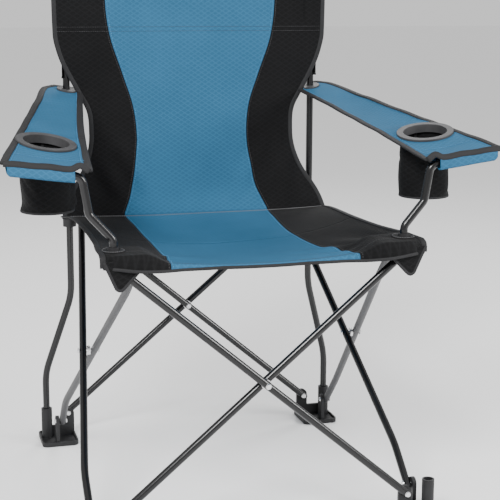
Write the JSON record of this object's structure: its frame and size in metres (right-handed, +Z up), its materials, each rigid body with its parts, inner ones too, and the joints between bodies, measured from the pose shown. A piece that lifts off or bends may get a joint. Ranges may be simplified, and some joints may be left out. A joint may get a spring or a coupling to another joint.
{
  "type": "folding camp chair",
  "caption": "Folding camp chair: scissor frame of steel tubes with plastic feet, two-tone sling seat and back, cloth armrests with cup holders.",
  "frame": {"origin": "on the ground under the centre of the chair's bounding box", "axes": "-Y towards the front edge of the seat, +X to the right seen from the front, +Z up"},
  "size_m": [0.8316, 0.61, 0.99],
  "materials": {
    "frame_steel": "satin black powder coat",
    "side_tube_steel": "satin dark grey powder coat",
    "rivet_steel": "zinc plated",
    "black_plastic": "moulded, fine grain",
    "black_cloth": "coated woven polyester",
    "blue_cloth": "coated woven polyester"
  },
  "bodies": {
    "rear_left_frame": {"rear_left_foot": "black_plastic", "rear_left_foot_rivets": "rivet_steel", "left_post": "frame_steel", "left_post_cap": "black_plastic", "back_cloth": "blue_cloth"},
    "rear_outer_tube": {"rear_outer_tube": "frame_steel", "rear_outer_tube_plugs": "black_plastic", "rear_crossing_rivet_and_washer": "rivet_steel"},
    "rear_inner_tube": {"rear_inner_tube": "frame_steel", "rear_inner_tube_plugs": "black_plastic"},
    "rear_right_frame": {"rear_right_foot": "black_plastic", "rear_right_foot_rivets": "rivet_steel", "right_post": "frame_steel", "right_post_cap": "black_plastic"},
    "rear_left_hub": {"rear_left_hub": "black_plastic", "rear_left_hub_rivets": "rivet_steel"},
    "rear_right_hub": {"rear_right_hub": "black_plastic", "rear_right_hub_rivets": "rivet_steel"},
    "left_side_tube": {"left_side_tube": "side_tube_steel", "left_side_tube_plugs": "black_plastic", "left_crossing_rivet_and_washer": "rivet_steel"},
    "left_leg_tube": {"left_leg_tube": "frame_steel", "left_leg_tube_plugs": "black_plastic"},
    "front_left_foot": {"front_left_foot": "black_plastic", "front_left_foot_rivets": "rivet_steel"},
    "front_left_hub": {"front_left_hub": "black_plastic", "front_left_hub_rivets": "rivet_steel", "left_arm_tube": "frame_steel", "left_arm_tube_plug": "black_plastic", "left_corner_pocket": "black_cloth"},
    "front_inner_tube": {"front_inner_tube": "frame_steel", "front_inner_tube_plugs": "black_plastic", "front_crossing_rivet_and_washer": "rivet_steel"},
    "front_outer_tube": {"front_outer_tube": "frame_steel", "front_outer_tube_plugs": "black_plastic"},
    "front_right_foot": {"front_right_foot": "black_plastic", "front_right_foot_rivets": "rivet_steel"},
    "front_right_hub": {"front_right_hub": "black_plastic", "front_right_hub_rivets": "rivet_steel", "right_arm_tube": "frame_steel", "right_arm_tube_plug": "black_plastic", "right_corner_pocket": "black_cloth"},
    "right_side_tube": {"right_side_tube": "side_tube_steel", "right_side_tube_plugs": "black_plastic", "right_crossing_rivet_and_washer": "rivet_steel"},
    "right_leg_tube": {"right_leg_tube": "frame_steel", "right_leg_tube_plugs": "black_plastic"},
    "seat_front": {"seat_front": "blue_cloth"},
    "seat_rear": {"seat_rear": "blue_cloth"},
    "left_armrest": {"left_armrest": "blue_cloth", "left_cup_ring": "black_plastic", "left_cup": "black_cloth"},
    "right_armrest": {"right_armrest": "blue_cloth", "right_cup_ring": "black_plastic", "right_cup": "black_cloth"},
    "left_post_washer": {"left_post_washer": "black_plastic"},
    "right_post_washer": {"right_post_washer": "black_plastic"}
  },
  "joints": [
    {"name": "fold", "type": "hinge", "parent": "rear_left_frame", "child": "rear_outer_tube", "pos_m": [-0.244, 0.2935, 0.048], "axis": [0, -1, 0], "range_deg": [0, 37.69], "deforming": ["back_cloth", "seat_front", "seat_rear", "left_armrest", "right_armrest", "left_corner_pocket", "right_corner_pocket"]},
    {"name": "rear_crossing", "type": "hinge", "parent": "rear_outer_tube", "child": "rear_inner_tube", "pos_m": [0, 0.2835, 0.255], "axis": [0, -1, 0], "range_deg": [-75.39, 0]},
    {"name": "rear_right_foot_pin", "type": "hinge", "parent": "rear_inner_tube", "child": "rear_right_frame", "pos_m": [0.244, 0.2735, 0.048], "axis": [0, -1, 0], "range_deg": [0, 37.7]},
    {"name": "rear_left_hub_pin", "type": "hinge", "parent": "rear_inner_tube", "child": "rear_left_hub", "pos_m": [-0.244, 0.2735, 0.462], "axis": [0, -1, 0], "range_deg": [0, 37.7]},
    {"name": "rear_right_hub_pin", "type": "hinge", "parent": "rear_outer_tube", "child": "rear_right_hub", "pos_m": [0.244, 0.2935, 0.462], "axis": [0, -1, 0], "range_deg": [-37.7, 0]},
    {"name": "rear_left_side_pin", "type": "hinge", "parent": "rear_left_frame", "child": "left_side_tube", "pos_m": [-0.262, 0.2365, 0.048], "axis": [-1, 0, 0], "range_deg": [0, 37.7]},
    {"name": "left_crossing", "type": "hinge", "parent": "left_side_tube", "child": "left_leg_tube", "pos_m": [-0.24371, -0.0075, 0.255], "axis": [-1, 0, 0], "range_deg": [-75.39, 0]},
    {"name": "front_left_side_pin", "type": "hinge", "parent": "left_leg_tube", "child": "front_left_foot", "pos_m": [-0.282, -0.2515, 0.048], "axis": [-1, 0, 0], "range_deg": [0, 37.7]},
    {"name": "front_left_hub_side_pin", "type": "hinge", "parent": "left_side_tube", "child": "front_left_hub", "pos_m": [-0.20543, -0.2515, 0.462], "axis": [-1, 0, 0], "range_deg": [-37.7, 0]},
    {"name": "front_left_foot_pin", "type": "hinge", "parent": "front_left_foot", "child": "front_inner_tube", "pos_m": [-0.244, -0.2735, 0.048], "axis": [0, -1, 0], "range_deg": [0, 37.7]},
    {"name": "front_crossing", "type": "hinge", "parent": "front_inner_tube", "child": "front_outer_tube", "pos_m": [0, -0.2835, 0.255], "axis": [0, -1, 0], "range_deg": [-75.39, 0]},
    {"name": "front_right_foot_pin", "type": "hinge", "parent": "front_outer_tube", "child": "front_right_foot", "pos_m": [0.244, -0.2935, 0.048], "axis": [0, -1, 0], "range_deg": [0, 37.7]},
    {"name": "front_right_hub_pin", "type": "hinge", "parent": "front_inner_tube", "child": "front_right_hub", "pos_m": [0.244, -0.2735, 0.462], "axis": [0, -1, 0], "range_deg": [-37.7, 0]},
    {"name": "rear_right_side_pin", "type": "hinge", "parent": "rear_right_frame", "child": "right_side_tube", "pos_m": [0.282, 0.2365, 0.048], "axis": [-1, 0, 0], "range_deg": [0, 37.7]},
    {"name": "right_crossing", "type": "hinge", "parent": "right_side_tube", "child": "right_leg_tube", "pos_m": [0.24371, -0.0075, 0.255], "axis": [-1, 0, 0], "range_deg": [-75.39, 0]},
    {"name": "seat_front_fold", "type": "hinge", "parent": "front_left_hub", "child": "seat_front", "pos_m": [0, -0.2515, 0.48], "axis": [-1, 0, 0], "range_deg": [0, 74.19]},
    {"name": "seat_rear_fold", "type": "hinge", "parent": "rear_left_hub", "child": "seat_rear", "pos_m": [0, 0.2365, 0.48], "axis": [1, 0, 0], "range_deg": [0, 74.19]},
    {"name": "left_armrest_fold", "type": "hinge", "parent": "front_left_hub", "child": "left_armrest", "pos_m": [-0.33, -0.262, 0.60911], "axis": [-1, 0, 0], "range_deg": [0, 49.32]},
    {"name": "right_armrest_fold", "type": "hinge", "parent": "front_right_hub", "child": "right_armrest", "pos_m": [0.33, -0.262, 0.60911], "axis": [-1, 0, 0], "range_deg": [0, 49.32]},
    {"name": "left_washer_slide", "type": "slide", "parent": "rear_left_frame", "child": "left_post_washer", "axis": [0, 0, 1], "range_m": [0, 0.00882]},
    {"name": "right_washer_slide", "type": "slide", "parent": "rear_right_frame", "child": "right_post_washer", "axis": [0, 0, 1], "range_m": [0, 0.00882]}
  ],
  "couplings": [
    {"joint": "rear_crossing", "follows": "fold", "ratio": -2},
    {"joint": "rear_right_foot_pin", "follows": "fold", "ratio": 1},
    {"joint": "rear_left_hub_pin", "follows": "fold", "ratio": 1},
    {"joint": "rear_right_hub_pin", "follows": "fold", "ratio": -1},
    {"joint": "rear_left_side_pin", "follows": "fold", "ratio": 1},
    {"joint": "left_crossing", "follows": "fold", "ratio": -2},
    {"joint": "front_left_side_pin", "follows": "fold", "ratio": 1},
    {"joint": "front_left_hub_side_pin", "follows": "fold", "ratio": -1},
    {"joint": "front_left_foot_pin", "follows": "fold", "ratio": 1},
    {"joint": "front_crossing", "follows": "fold", "ratio": -2},
    {"joint": "front_right_foot_pin", "follows": "fold", "ratio": 1},
    {"joint": "front_right_hub_pin", "follows": "fold", "ratio": -1},
    {"joint": "rear_right_side_pin", "follows": "fold", "ratio": 1},
    {"joint": "right_crossing", "follows": "fold", "ratio": -2},
    {"joint": "seat_front_fold", "follows": "fold", "ratio": 1.9681},
    {"joint": "seat_rear_fold", "follows": "fold", "ratio": 1.9681},
    {"joint": "left_armrest_fold", "follows": "fold", "ratio": 1.3083},
    {"joint": "right_armrest_fold", "follows": "fold", "ratio": 1.3083},
    {"joint": "left_washer_slide", "follows": "fold", "m_per_rad": 0.013378},
    {"joint": "right_washer_slide", "follows": "fold", "m_per_rad": 0.013378}
  ]
}
